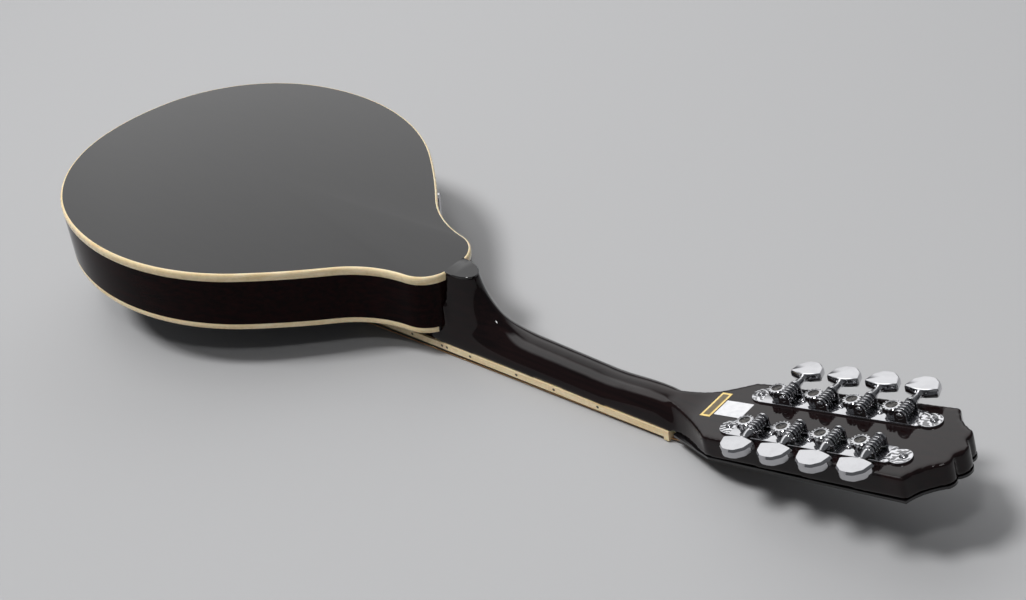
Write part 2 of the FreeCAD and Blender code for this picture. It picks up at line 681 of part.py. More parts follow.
def make_bridge():
    place = size("bridge_place")
    half = size("bridge_length") / 2
    string_high = size("nut_string_height") + math.tan(math.radians(size("string_slope"))) * place
    base_low = BRIDGE_FLOOR
    outline = [Vector(place - 5.5, -half, 0), Vector(place + 5.5, -half, 0),
               Vector(place + 5.5, half, 0), Vector(place - 5.5, half, 0), Vector(place - 5.5, -half, 0)]
    blank = Part.Face(Part.makePolygon(outline)).extrude(Vector(0, 0, 40))
    blank.translate(Vector(0, 0, base_low))
    blank = blank.makeFillet(3.0, [e for e in blank.Edges if abs(e.tangentAt(e.FirstParameter).z) > 0.99])
    scoops = []
    for side in (-1, 1):
        tool = Part.makeCylinder(26, 30, Vector(place - 15, side * (half + 4), base_low - 20), Vector(1, 0, 0))
        scoops.append(feature("bridge_scoop_%d" % (side + 2), tool))
    cover = feature("arch_over_bridge", top_outside)
    gap = size("stud_half_gap")
    wells = [Part.makeCylinder(1.75, 4.5, Vector(place, side * gap, base_low)) for side in (-1, 1)]
    wells = [feature("stud_well_%d" % k, well) for k, well in enumerate(wells)]
    above_rim = box("rim_level", (-WIDE * 2, -WIDE, TOP_RIM), (WIDE, WIDE, 0))
    keep(cut("bridge_base_body", feature("bridge_blank", blank), [cover, above_rim] + wells + scoops),
         "bridge_base")

    studs = []
    saddle_low = string_high - 0.1
    wheel_low, wheel_high = WHEEL_SPAN
    for side in (-1, 1):
        studs.append(rod("stud_%d" % (side + 2), size("stud_radius"), saddle_low + 4.2, base_low + 4.5,
                         Placement(Vector(place, side * gap, 0), Rotation())))
    keep(fuse("studs_body", studs), "bridge_studs")
    for word, side in (("bass", -1), ("treble", 1)):
        axis = Placement(Vector(place, side * gap, 0), Rotation())
        disc = rod("wheel_disc_" + word, size("wheel_radius"), wheel_low, wheel_high, axis)
        bore = rod("wheel_bore_" + word, size("stud_radius") + size("running_clearance"),
                   wheel_low - 1, wheel_high + 1, axis)
        knurls = []
        for k in range(24):
            spot = polar(Vector(place, side * gap, 0), 6.1, 15 * k)
            knurls.append(Part.makeCylinder(0.35, 6, spot + Vector(0, 0, wheel_low - 2)))
        knurl = feature("wheel_knurl_" + word, Part.makeCompound(knurls))
        keep(cut("thumbwheel_%s_body" % word, disc, [bore, knurl]), "thumbwheel_" + word)

    saddle_top = wheel_low
    points = [Vector(-46, 0, saddle_top), Vector(46, 0, saddle_top), Vector(44, 0, saddle_top - 4.2),
              Vector(30, 0, saddle_low + 1.5), Vector(26, 0, saddle_low), Vector(-26, 0, saddle_low),
              Vector(-30, 0, saddle_low + 1.5), Vector(-44, 0, saddle_top - 4.2), Vector(-46, 0, saddle_top)]
    turned = [Vector(place, p.x, p.z) for p in points]
    thin = Part.Face(Part.makePolygon(turned)).extrude(Vector(3.0, 0, 0))
    thin.translate(Vector(-1.5, 0, 0))
    thick = [Part.makeCylinder(4.2, 5.0, Vector(place, side * gap, saddle_top - 5.0)) for side in (-1, 1)]
    body = thin.fuse(thick)
    wells = [rod("saddle_well_%d" % (side + 2), 1.8, saddle_low + 1, base_low,
                 Placement(Vector(place, side * gap, 0), Rotation())) for side in (-1, 1)]
    grooves = feature("saddle_grooves", string_grooves(2))
    keep(cut("bridge_saddle_body", feature("saddle_blank", body.removeSplitter()), wells + [grooves]),
         "bridge_saddle")


def make_tailpiece():
    """A bent base plate that hooks the strings, a sliding cover over it and the end pin."""
    tail = size("tail_end")
    metal, reach, wide = 1.2, 44.0, 19.0
    flat = box("tail_flat", (-metal, -wide, -metal), (reach, wide, 0), TAIL)
    drop = box("tail_drop", (tail - metal - 0.02, -10, TOP_RIM - 1.2), (tail - 0.02, 10, -13))
    rise = box("tail_rise", (reach - metal, -wide, -6), (reach, wide, 0), TAIL)
    hooks = [rod("tail_hook_%d" % k, 0.9, -5.5, -metal / 2,
                 TAIL.multiply(Placement(Vector(16, 4.5 * (k - 3.5), 0), Rotation()))) for k in range(8)]
    hole = rod("tail_pin_hole", 3.1, -20, 20, tail_place())
    space = feature("body_round_tail", outline_prism(-0.02, TOP_RIM, 0))
    grooves = feature("tail_grooves", string_grooves(1))
    body = fuse("tail_plate", [flat, drop, rise] + hooks)
    keep(cut("tailpiece_base_body", body, [hole, space, grooves]), "tailpiece_base")

    skin = 1.0
    low, high = -8.4, -metal - 0.1
    front = reach - metal - 0.4
    side = wide + skin + 0.1
    outer = box("cover_outer", (-5.0, -side, low), (front, side, high), TAIL)
    inner = box("cover_inner", (-4.0, skin - side, low + skin), (front + 5, side - skin, high + 5), TAIL)
    lip = box("cover_lip", (-5.0, -side, high - 1.0), (-4.0, side, 5.0), TAIL)
    keep(fuse("tailpiece_cover_body", [cut("cover_shell", outer, [inner]), lip]), "tailpiece_cover")

    head, throat, stem = size("pin_head_radius"), size("pin_neck_radius"), size("pin_stem_radius")
    reach = size("pin_reach")
    section = [(0.0, -17.7), (stem, -17.7), (stem, 1.24), (throat, 1.24), (throat, reach - 5.2),
               (head, reach - 2.2), (head, reach), (0.0, reach)]
    keep(revolved("end_pin_body", section, tail_place()), "end_pin")


def make_strings():
    """Eight taut strings from the tailpiece hooks over the saddle and nut to the posts."""
    solids = []
    for route, gauge in string_routes():
        runs = [Part.makeCylinder(gauge, (end - start).Length, start, end - start)
                for start, end in zip(route, route[1:])]
        joints = [Part.makeSphere(gauge, point) for point in route[1:-1]]
        solids.append(runs[0].fuse(runs[1:] + joints))
    keep(feature("strings_wound_body", Part.makeCompound(solids[:4])), "strings_wound")
    keep(feature("strings_plain_body", Part.makeCompound(solids[4:])), "strings_plain")


def make_pickguard():
    """A small guard held clear of the top beside the strings, on a wire bracket."""
    points = [Vector(-176, 21, 0), Vector(-246, 24, 0), Vector(-318, 34, 0), Vector(-322, 62, 0),
              Vector(-290, 74, 0), Vector(-246, 56, 0), Vector(-214, 33, 0), Vector(-176, 21, 0)]
    face = Part.Face(Part.makePolygon(points))
    guard = face.extrude(Vector(0, 0, -size("guard_thick")))
    upright = [e for e in guard.Edges if abs(e.tangentAt(e.FirstParameter).z) > 0.99]
    guard = guard.makeFillet(5.0, [e for e in upright if e.CenterOfMass.x < -230])
    level = STRINGS.multiply(Placement(Vector(0, 0, 7.5), Rotation()))
    keep(feature("pickguard_body", guard, level), "pickguard")

    x = -252.0
    arcs = Part.makeCompound(half_outline(0)[0])
    wall = arcs.distToShape(Part.makeLine(Vector(x, 60, 0), Vector(x, 60.1, 0)))[0] + 60.0
    drop = level.multVec(Vector(x, 0, 0)).z
    arm = box("bracket_arm", (x - 1.6, 40, 0), (x + 1.6, wall + 4.2, 1.6), level)
    leg = box("bracket_leg", (x - 1.6, wall + 2.6, drop + 0.4), (x + 1.6, wall + 4.2, -15.0))
    foot = rod("bracket_foot", 1.6, 0.2, 5.0, Placement(Vector(x, wall, -16.6), Rotation(Vector(1, 0, 0), -90)))
    wall_space = feature("side_space", outline_prism(0, -60, 0))
    keep(cut("bracket_body", fuse("bracket_parts", [arm, leg, foot]), [wall_space]), "pickguard_bracket")


# ---------------------------------------------------------------- tuners

def worm_shape():
    """Shaft with a right-handed thread, along Z, with a crest on +X at the middle."""
    pitch = 2 * math.pi * (size("centre_distance") - 2.5) / size("gear_teeth")
    root, outer, journal = size("thread_root"), size("thread_radius"), size("journal_radius")
    turns = 4
    helix = Part.makeHelix(pitch, turns * pitch, root)
    tooth = Part.makePolygon([Vector(root - 0.3, 0, -0.55), Vector(outer, 0, -0.3), Vector(outer, 0, 0.3),
                              Vector(root - 0.3, 0, 0.55), Vector(root - 0.3, 0, -0.55)])
    thread = Part.Wire(helix).makePipeShell([tooth], True, True)
    thread.translate(Vector(0, 0, -turns * pitch / 2))
    parts = [Part.makeCylinder(root, 10.2, Vector(0, 0, -5.1)),
             Part.makeCylinder(journal, 15.4, Vector(0, 0, -6.9)),
             Part.makeCone(3.0, 2.1, 4.6, Vector(0, 0, 6.6)),
             Part.makeCylinder(2.1, 5.4, Vector(0, 0, 11.2))]
    return parts[0].fuse(parts[1:] + [thread])


def post_shape():
    """String post with its worm gear on top and a countersunk screw in the gear."""
    low = size("head_back") - size("head_thick")
    middle = size("head_back") + size("worm_height")
    half = size("gear_thick") / 2
    lead = math.degrees(math.atan((size("centre_distance") - 2.5) / size("gear_teeth") / 2.5))
    gear = Part.makeCylinder(size("gear_radius"), 2 * half, Vector(0, 0, middle - half))
    gear = gear.cut(Part.makeCylinder(2.6, 0.5, Vector(0, 0, middle + half - 0.4)))
    teeth = int(size("gear_teeth"))
    gaps = []
    for number in range(teeth):
        gap = Part.makeBox(4, 1.32, 14, Vector(size("gear_root"), -0.66, -7))
        gap.rotate(Vector(0, 0, 0), Vector(1, 0, 0), -lead)
        gap.translate(Vector(0, 0, middle))
        gap.rotate(Vector(0, 0, 0), Vector(0, 0, 1), number * 360.0 / teeth)
        gaps.append(gap)
    gear = gear.cut(Part.makeCompound(gaps))
    start = low - size("post_reach")
    shaft = Part.makeCylinder(size("post_radius"), middle - start, Vector(0, 0, start))
    collar = Part.makeCylinder(4.0, middle - half - size("head_back") - size("plate_metal") - 0.05,
                               Vector(0, 0, size("head_back") + size("plate_metal") + 0.05))
    waist = Part.makeCylinder(4, 3.4, Vector(0, 0, low - 6.8)).cut(
        Part.makeCylinder(2.0, 3.4, Vector(0, 0, low - 6.8)))
    hole = Part.makeCylinder(0.7, 8, Vector(-4, 0, low - 5.0), Vector(1, 0, 0))
    return gear.fuse([shaft, collar]).cut(waist).cut(hole).removeSplitter()


def button_shape():
    """A kidney-shaped button: flat towards the head, round and bevelled outside, with a hub."""
    half, thick = size("button_half_length"), size("button_thick")
    base = size("button_out") - size("post_half_gap") + 0.2
    depth = 13.8
    outline = [Part.Arc(Vector(-half, 0, base + 3.6), Vector(0, 0, base + 1.4),
                        Vector(half, 0, base + 3.6)).toShape(),
               Part.Arc(Vector(half, 0, base + 3.6), Vector(half - 0.9, 0, base + 9.0),
                        Vector(half - 4.2, 0, base + depth - 0.9)).toShape(),
               Part.Arc(Vector(half - 4.2, 0, base + depth - 0.9), Vector(0, 0, base + depth + 0.5),
                        Vector(4.2 - half, 0, base + depth - 0.9)).toShape(),
               Part.Arc(Vector(4.2 - half, 0, base + depth - 0.9), Vector(0.9 - half, 0, base + 9.0),
                        Vector(-half, 0, base + 3.6)).toShape()]
    bevel = 1.2
    middle = Vector(0, 0, base + depth / 2)
    wires = []
    for height, factor in ((-thick / 2, 0.86), (bevel - thick / 2, 1.0), (thick / 2 - bevel, 1.0), (thick / 2, 0.86)):
        wire = Part.Wire(outline)
        wire.scale(factor, middle)
        wire.translate(Vector(0, height, 0))
        wires.append(wire)
    blank = Part.makeLoft(wires, True, True)
    hub = Part.makeCylinder(2.1, 3.6, Vector(0, 0, base + 0.2))
    return blank.fuse(hub).removeSplitter()


def worm_place(post, side):
    """The worm beside a post, towards the head's tip; its Z axis points off the head."""
    axes = FreeCAD.Matrix(-1, 0, 0, 0, 0, 0, side, 0, 0, side, 0, 0, 0, 0, 0, 1)
    turn = Rotation(Placement(axes).Rotation)
    offset = Vector(size("centre_distance"), 0, size("head_back") + size("worm_height"))
    return post.multiply(Placement(offset, turn))


def make_tuners():
    worm, post, button = worm_shape(), post_shape(), button_shape()
    base = size("button_out") - size("post_half_gap") + 0.2
    shaft = worm.common(Part.makeBox(20, 20, 30, Vector(-10, -10, base + 0.2 - 30)))
    for name, place, side in posts():
        beside = worm_place(place, side)
        keep(feature("worm_" + name, shaft, beside), "tuner_worm_" + name)
        keep(feature("button_" + name, button, beside), "tuner_button_" + name)
        keep(feature("post_" + name, post, place), "tuner_post_" + name)
    for word, side in (("bass", -1), ("treble", 1)):
        make_plate(word, side)
    low = size("head_back") - size("head_thick") - size("overlay_thick")
    bushes = []
    for number, (name, place, side) in enumerate(posts()):
        sleeve = rod("bush_sleeve_%d" % number, 4.2, low - 1.0, low + 7, place)
        flange = rod("bush_flange_%d" % number, 5.4, low - 1.3, low, place)
        bore = rod("bush_bore_%d" % number, 3.0 + size("running_clearance"), low - 3, low + 8, place)
        bushes.append(cut("bush_%d" % number, fuse("bush_parts_%d" % number, [sleeve, flange]), [bore]))
    keep(fuse("bushings_body", bushes), "post_bushings")


def screw_spots(side):
    """Where the mounting screws of a tuner plate stand on the head."""
    first, pitch = size("first_post"), size("tuner_pitch")
    row = side * size("post_half_gap")
    spots = [(first - 11.5, row)]
    spots += [(first + pitch * (k + 0.5) + 3.6, row) for k in range(3)]
    spots.append((first + pitch * 3 + 22.4, row))
    return spots


def make_plate(word, side):
    """The metal strip of one row: base, two ears for each worm, bores and screw holes."""
    top = size("head_back")
    metal = size("plate_metal")
    row = side * size("post_half_gap")
    first, pitch = size("first_post"), size("tuner_pitch")
    last = first + 3 * pitch
    strip = Part.makeBox(last - first + 26, 14, metal, Vector(first - 10, row - 7, top))
    ends = [Part.makeCylinder(6.4, metal, Vector(first - 10.5, row, top)),
            Part.makeCylinder(6.4, metal, Vector(last + 20.5, row, top))]
    scallops = [Part.makeCylinder(1.5, 4, Vector(x, row + y, top - 1)) for x in (last + 14.2, first - 5.6)
                for y in (-7.2, 7.2)]
    base = strip.fuse(ends).removeSplitter().cut(Part.makeCompound(scallops))
    height = top + size("worm_height")
    half, thick = size("ear_half"), size("ear_thick")
    ears = []
    holes = []
    for number in range(4):
        x = first + number * pitch + size("centre_distance")
        holes.append(Part.makeCylinder(size("post_radius") + 0.1, 6, Vector(x - 7.5, row, top - 2)))
        for offset in (-6.6, 5.4):
            y = row + offset
            ear = Part.makeBox(2 * half, thick, size("worm_height"), Vector(x - half, y, top))
            round_end = Part.makeCylinder(half, thick, Vector(x, y, height), Vector(0, 1, 0))
            ears.append(ear.fuse(round_end))
        holes.append(Part.makeCylinder(size("journal_radius") + 0.05, 20, Vector(x, row - 10, height),
                                       Vector(0, 1, 0)))
    for x, y in screw_spots(side):
        holes.append(Part.makeCylinder(1.35, 6, Vector(x, y, top - 2)))
    shape = base.fuse(ears).removeSplitter().cut(Part.makeCompound(holes))
    keep(feature("tuner_plate_body_" + word, shape, HEAD), "tuner_plate_" + word)


def make_screws():
    """Round-head screws of both tuner plates and the two of the truss rod cover."""
    screws = []
    for side in (-1, 1):
        for x, y in screw_spots(side):
            top = size("head_back") + size("plate_metal")
            head = Part.makeSphere(2.6, Vector(x, y, top - 1.1)).common(
                Part.makeBox(8, 8, 4, Vector(x - 4, y - 4, top)))
            cross = [Part.makeBox(2.6, 0.5, 2, Vector(x - 1.3, y - 0.25, top + 0.9)),
                     Part.makeBox(0.5, 2.6, 2, Vector(x - 0.25, y - 1.3, top + 0.9))]
            shank = Part.makeCylinder(1.3, size("plate_metal"), Vector(x, y, size("head_back")))
            screws.append(head.cut(Part.makeCompound(cross)).fuse(shank))
    keep(feature("screws_body", Part.makeCompound(screws), HEAD), "screws")


# ---------------------------------------------------------------- assembly

body_space = make_body()
make_neck(body_space)
make_head_parts()
make_fretboard()
make_bridge()
make_tailpiece()
make_strings()
make_pickguard()
make_tuners()
make_screws()
doc.recompute()

# the last placement levels the strings and stands the lowest point on zero
level = STRINGS.inverse()
boxes = []
for piece in pieces:
    copy = piece.Shape.copy()
    copy.Placement = level.multiply(copy.Placement)
    boxes.append(copy.optimalBoundingBox(False))
low = Vector(min(b.XMin for b in boxes), min(b.YMin for b in boxes), min(b.ZMin for b in boxes))
high = Vector(max(b.XMax for b in boxes), max(b.YMax for b in boxes), 0)
shift = Placement(Vector(-(low.x + high.x) / 2, -(low.y + high.y) / 2, -low.z), Rotation())
ROW = shift.multiply(level)
for piece in pieces:
    piece.Placement = ROW.multiply(piece.Placement)
doc.recompute()

failed = [item.Name for item in doc.Objects if "Invalid" in item.State or "Error" in item.State]
failed += [piece.Label for piece in pieces if piece.Shape.isNull() or not piece.Shape.isValid()
           or not piece.Shape.Solids]
if failed:
    raise RuntimeError("failed objects: " + ", ".join(failed))

os.makedirs("parts", exist_ok=True)
for piece in pieces:
    piece.Shape.exportStep("parts/%s.step" % piece.Label)
print("sub-parts:", len(pieces))
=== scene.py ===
import json
import math
import bmesh
import bpy
from mathutils import Matrix, Vector


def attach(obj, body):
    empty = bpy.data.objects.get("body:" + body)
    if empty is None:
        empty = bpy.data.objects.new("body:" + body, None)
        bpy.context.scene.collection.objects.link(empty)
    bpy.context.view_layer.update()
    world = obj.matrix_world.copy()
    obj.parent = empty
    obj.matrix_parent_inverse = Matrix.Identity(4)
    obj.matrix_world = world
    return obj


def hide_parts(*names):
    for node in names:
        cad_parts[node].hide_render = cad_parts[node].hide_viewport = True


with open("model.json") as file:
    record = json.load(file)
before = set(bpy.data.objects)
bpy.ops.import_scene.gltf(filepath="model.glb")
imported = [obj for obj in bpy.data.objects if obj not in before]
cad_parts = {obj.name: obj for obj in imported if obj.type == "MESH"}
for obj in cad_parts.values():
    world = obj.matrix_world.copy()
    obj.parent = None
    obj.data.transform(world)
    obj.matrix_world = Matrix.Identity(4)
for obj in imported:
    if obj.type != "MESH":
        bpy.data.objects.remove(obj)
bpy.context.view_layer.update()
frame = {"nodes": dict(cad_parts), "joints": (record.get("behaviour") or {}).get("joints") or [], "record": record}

# Lengths are millimetres in the body frame: X along the centre line with zero at the nut,
# Y towards the treble side, Z out of the back with zero on the back.  ROW takes them to the
# row frame in metres.  The head has a frame of its own, leaning by HEAD_SLOPE, with its X
# along the head and its Z out of the head's back.
MM = 0.001
SCALE_LENGTH = 350
STRING_SLOPE = 5.905
BODY_DEPTH = 44.0
BRIDGE = -351.0
TAIL = -497.3
NECK_SLOPE = 5.5
BOARD_ORIGIN = Vector((0, 0, -36.2))
HEAD_SLOPE = 19.12
HEAD_ORIGIN = Vector((0, 0, -38.57))
HEAD_BACK = 14.5
FIRST_POST = 63.8
TUNER_PITCH = 23.0
LAST_POST = FIRST_POST + 3 * TUNER_PITCH
POST_ROW = 16.35
WORM_HEIGHT = 5.2
WORM_BESIDE = 7.5
GEAR_MIDDLE = HEAD_BACK + WORM_HEIGHT


def leaning(angle, origin=Vector()):
    """A frame at the origin given whose X axis rises by the angle towards the head."""
    return Matrix.Translation(origin) @ Matrix.Rotation(-math.radians(angle), 4, "Y")


HEAD = leaning(HEAD_SLOPE, HEAD_ORIGIN)


def find_row():
    """The body frame turned by the strings' slope, and moved so that a known post fits."""
    turn = leaning(-STRING_SLOPE) @ Matrix.Diagonal((MM, MM, MM, 1))
    post = [joint for joint in frame["joints"] if joint["name"] == "post_turn_bass_1"][0]
    here = turn @ HEAD @ Vector((FIRST_POST, -POST_ROW, GEAR_MIDDLE))
    return Matrix.Translation(Vector(post["pos_m"]) - here) @ turn


ROW = find_row()
ROW_TURN = ROW.to_3x3() * (1 / MM)


# ---------------------------------------------------------------- mesh helpers
# A shape is a pair of lists, its points and its faces.

def clamped(share):
    """A share held between 0 and 1."""
    return min(1.0, max(0.0, share))


def eased(share):
    """A smooth step from 0 to 1."""
    share = clamped(share)
    return share * share * (3 - 2 * share)


def skin_of_rings(rings, capped=True):
    """The shape of a tube through rings of equal length, with or without its two ends."""
    count = len(rings[0])
    points = [p for ring in rings for p in ring]
    faces = []
    for i in range(len(rings) - 1):
        a, b = i * count, (i + 1) * count
        for j in range(count):
            k = (j + 1) % count
            faces.append((a + j, a + k, b + k, b + j))
    if capped:
        faces.append(tuple(range(count)))
        faces.append(tuple(reversed(range((len(rings) - 1) * count, len(rings) * count))))
    return points, faces


def ring_about_z(radius_at, height, steps):
    """Points round Z; radius_at takes a share of a turn."""
    ring = []
    for k in range(steps):
        radius = radius_at(k / steps)
        angle = 2 * math.pi * k / steps
        ring.append((radius * math.cos(angle), radius * math.sin(angle), height))
    return ring


def lathe(profile, steps):
    """A shape turned about Z from (radius, height) pairs, its ends closed."""
    return skin_of_rings([ring_about_z(lambda turn: radius, height, steps) for radius, height in profile])


def prism(outline, layers):
    """A shape of (height, scale) layers of a flat outline, scaled about its middle."""
    middle = Vector((sum(x for x, y in outline), sum(y for x, y in outline))) / len(outline)
    rings = []
    for height, scale in layers:
        rings.append([(middle.x + (x - middle.x) * scale, middle.y + (y - middle.y) * scale, height)
                      for x, y in outline])
    return skin_of_rings(rings)


def merged(parts):
    """One shape out of several, each with its own placement."""
    points, faces = [], []
    for (some, joined), place in parts:
        base = len(points)
        points += [tuple(place @ Vector(p)) for p in some]
        faces += [tuple(base + i for i in face) for face in joined]
    return points, faces


def mesh_of(name, shape, place):
    """A mesh of a shape, with doubled points joined and its faces turned outwards."""
    points, faces = shape
    mesh = bpy.data.meshes.new(name)
    mesh.from_pydata([place @ Vector(p) for p in points], [], faces)
    work = bmesh.new()
    work.from_mesh(mesh)
    bmesh.ops.remove_doubles(work, verts=work.verts, dist=1e-7)
    bmesh.ops.recalc_face_normals(work, faces=work.faces)
    work.to_mesh(mesh)
    work.free()
    return mesh


def finish_mesh(name, mesh, materials, body, replaced=(), sharp=35):
    """Makes a piece of a mesh drawn in the row frame: smooth but for sharp edges."""
    for polygon in mesh.polygons:
        polygon.use_smooth = True
    if sharp is not None:
        mesh.set_sharp_from_angle(angle=math.radians(sharp))
    for material in materials:
        mesh.materials.append(material)
    piece = bpy.data.objects.new(name, mesh)
    bpy.context.scene.collection.objects.link(piece)
    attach(piece, body)
    if replaced:
        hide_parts(*replaced)
    return piece


def build(name, shape, place, materials, body, replaced=(), sharp=35):
    """Makes a piece of a shape; place carries it to the row frame."""
    return finish_mesh(name, mesh_of(name, shape, place), materials, body, replaced, sharp)


def apply_modifiers(piece):
    """Swaps a piece's mesh for what its modifiers make of it."""
    bpy.context.view_layer.update()
    graph = bpy.context.evaluated_depsgraph_get()
    mesh = bpy.data.meshes.new_from_object(piece.evaluated_get(graph))
    piece.modifiers.clear()
    piece.data = mesh


# ---------------------------------------------------------------- body outline
# The outline is a chain of arcs, each a radius and a sweep in degrees, from the tail to the
# neck.  A minus radius curves the other way, and NECK_CORNER's arc makes up the half turn.

ARCS = [(157.0, 11.2), (114.4, 59.5), (151.8, 58.8), (477.0, 7.0), (-75.0, 37.8)]
NECK_CORNER = 22.8
SHOULDER = -200


def half_outline(step=1.5):
    """Points and outward normals from the tail to the neck on the treble side."""
    chain = list(ARCS)
    turned = sum(sweep if radius > 0 else -sweep for radius, sweep in ARCS)
    chain.append((NECK_CORNER, 180.0 - turned))
    heading = 180.0
    spot = Vector((TAIL, 0))
    found = []
    for radius, sweep in chain:
        out = Vector((math.cos(math.radians(heading)), math.sin(math.radians(heading))))
        centre = spot - out * radius
        pieces = max(3, round(sweep / step))
        turn = -math.copysign(sweep, radius)
        for k in range(pieces + (radius == NECK_CORNER)):
            angle = math.radians(heading + turn * k / pieces)
            normal = Vector((math.cos(angle), math.sin(angle)))
            found.append((centre + normal * radius, normal))
        heading += turn
        angle = math.radians(heading)
        spot = centre + Vector((math.cos(angle), math.sin(angle))) * radius
    return found


def full_outline():
    """The outline from the neck's bass corner round the tail to its treble corner."""
    treble = half_outline()
    bass = [(Vector((p.x, -p.y)), Vector((n.x, -n.y))) for p, n in treble[:0:-1]]
    return bass + treble


OUTLINE = full_outline()


def stretch(half_gap):
    """The outline without the part nearer the centre line than half_gap at the neck."""
    clear = half_gap + 0.4
    found = [(p, n) for p, n in OUTLINE if p.x < SHOULDER or abs(p.y) > clear]
    by_neck = [(p, n) for p, n in half_outline(0.5) if p.x > SHOULDER]
    near, normal = min(by_neck, key=lambda spot: abs(spot[0].y - half_gap))
    ends = []
    for side in (-1, 1):
        ends.append((Vector((near.x, side * half_gap)), Vector((normal.x, side * normal.y))))
    return [ends[0]] + found + [ends[1]]


def band(name, profile, half_gap, material, replaced):
    """A strip that follows the outline; its profile is (inset, height) pairs."""
    rings = [[(p.x - n.x * inset, p.y - n.y * inset, height) for inset, height in profile]
             for p, n in stretch(half_gap)]
    build(name, skin_of_rings(rings), ROW, [material], "root", replaced, 50)


# ---------------------------------------------------------------- materials

def new_material(name):
    """A material with its nodes, its links and its shader."""
    material = bpy.data.materials.new(name)
    material.use_nodes = True
    nodes = material.node_tree.nodes
    shader = nodes["Principled BSDF"]
    return material, nodes, material.node_tree.links, shader


def noise(nodes, links, scale, detail, stretch_by=(1, 1, 1)):
    """A noise texture in object coordinates, in metres, stretched along the axes."""
    where = nodes.new("ShaderNodeTexCoord")
    mapping = nodes.new("ShaderNodeMapping")
    mapping.inputs["Scale"].default_value = stretch_by
    texture = nodes.new("ShaderNodeTexNoise")
    texture.inputs["Scale"].default_value = scale
    texture.inputs["Detail"].default_value = detail
    links.new(where.outputs["Object"], mapping.inputs["Vector"])
    links.new(mapping.outputs["Vector"], texture.inputs["Vector"])
    return texture.outputs["Fac"]


def wave(nodes, links, scale):
    """A wave texture in object coordinates, in metres."""
    where = nodes.new("ShaderNodeTexCoord")
    texture = nodes.new("ShaderNodeTexWave")
    texture.inputs["Scale"].default_value = scale
    links.new(where.outputs["Object"], texture.inputs["Vector"])
    return texture


def ramp(nodes, links, factor, stops):
    """Colours for a factor, from (place, colour) stops."""
    node = nodes.new("ShaderNodeValToRGB")
    elements = node.color_ramp.elements
    while len(elements) < len(stops):
        elements.new(0.5)
    for element, (place, colour) in zip(elements, stops):
        element.position = place
        element.color = (*colour, 1)
    links.new(factor, node.inputs["Fac"])
    return node.outputs["Color"]


def bump(nodes, links, shader, height, strength, distance):
    """Relief in a shader's normal; the distance is in metres."""
    node = nodes.new("ShaderNodeBump")
    node.inputs["Strength"].default_value = strength
    node.inputs["Distance"].default_value = distance
    links.new(height, node.inputs["Height"])
    links.new(node.outputs["Normal"], shader.inputs["Normal"])


def map_range(nodes, links, value, start, end, low, high, kind="LINEAR"):
    """Carries a value from the span start to end to the span low to high."""
    node = nodes.new("ShaderNodeMapRange")
    node.interpolation_type = kind
    node.inputs["From Min"].default_value = start
    node.inputs["From Max"].default_value = end
    node.inputs["To Min"].default_value = low
    node.inputs["To Max"].default_value = high
    links.new(value, node.inputs["Value"])
    return node.outputs["Result"]


def spread(nodes, links, factor, low, high):
    """Carries the middle of a noise factor's range, where most of it lies, to low and high."""
    return map_range(nodes, links, factor, 0.3, 0.7, low, high)


def math_node(nodes, links, operation, first, second=None):
    """One sum; the second term is a socket, a number or left out."""
    node = nodes.new("ShaderNodeMath")
    node.operation = operation
    links.new(first, node.inputs[0])
    if isinstance(second, float):
        node.inputs[1].default_value = second
    elif second is not None:
        links.new(second, node.inputs[1])
    return node.outputs[0]


def lacquer(name, dark, tint, extra_ripple=0.0, index=1.5):
    """Dark polished lacquer: faintly clouded colour and gloss on a nearly flat surface."""
    material, nodes, links, shader = new_material(name)
    base = noise(nodes, links, 60, 6, (0.25, 6, 6))
    colour = ramp(nodes, links, base, [(0.35, dark), (0.7, tint)])
    links.new(colour, shader.inputs["Base Color"])
    rough = spread(nodes, links, noise(nodes, links, 35, 3), 0.035, 0.07)
    links.new(rough, shader.inputs["Roughness"])
    shader.inputs["IOR"].default_value = index
    bump(nodes, links, shader, noise(nodes, links, 18, 1), 0.06 + extra_ripple, 0.0004)
    return material


def celluloid(name, light, dark):
    """Aged cream binding: faint streaks along it, darker in places, softly polished."""
    material, nodes, links, shader = new_material(name)
    streaks = noise(nodes, links, 90, 5, (0.4, 1, 4))
    colour = ramp(nodes, links, streaks, [(0.3, dark), (0.62, light)])
    links.new(colour, shader.inputs["Base Color"])
    rough = spread(nodes, links, noise(nodes, links, 220, 2), 0.2, 0.34)
    links.new(rough, shader.inputs["Roughness"])
    shader.inputs["Subsurface Weight"].default_value = 0.12
    shader.inputs["Subsurface Scale"].default_value = 0.0012
    shader.inputs["Coat Weight"].default_value = 0.25
    bump(nodes, links, shader, streaks, 0.08, 0.0002)
    return material


def metal(name, colour, low, high, scratch=0.02):
    """Plated or plain metal with fine polishing marks and slight tarnish; low and high are
    the ends of its roughness."""
    material, nodes, links, shader = new_material(name)
    shader.inputs["Metallic"].default_value = 1.0
    cloud = noise(nodes, links, 160, 3)
    dull = tuple(c * 0.94 for c in colour)
    links.new(ramp(nodes, links, cloud, [(0.3, dull), (0.55, colour)]), shader.inputs["Base Color"])
    rough = spread(nodes, links, noise(nodes, links, 420, 3), low, high)
    links.new(rough, shader.inputs["Roughness"])
    bump(nodes, links, shader, noise(nodes, links, 900, 2, (1, 1, 3)), scratch, 0.00005)
    return material


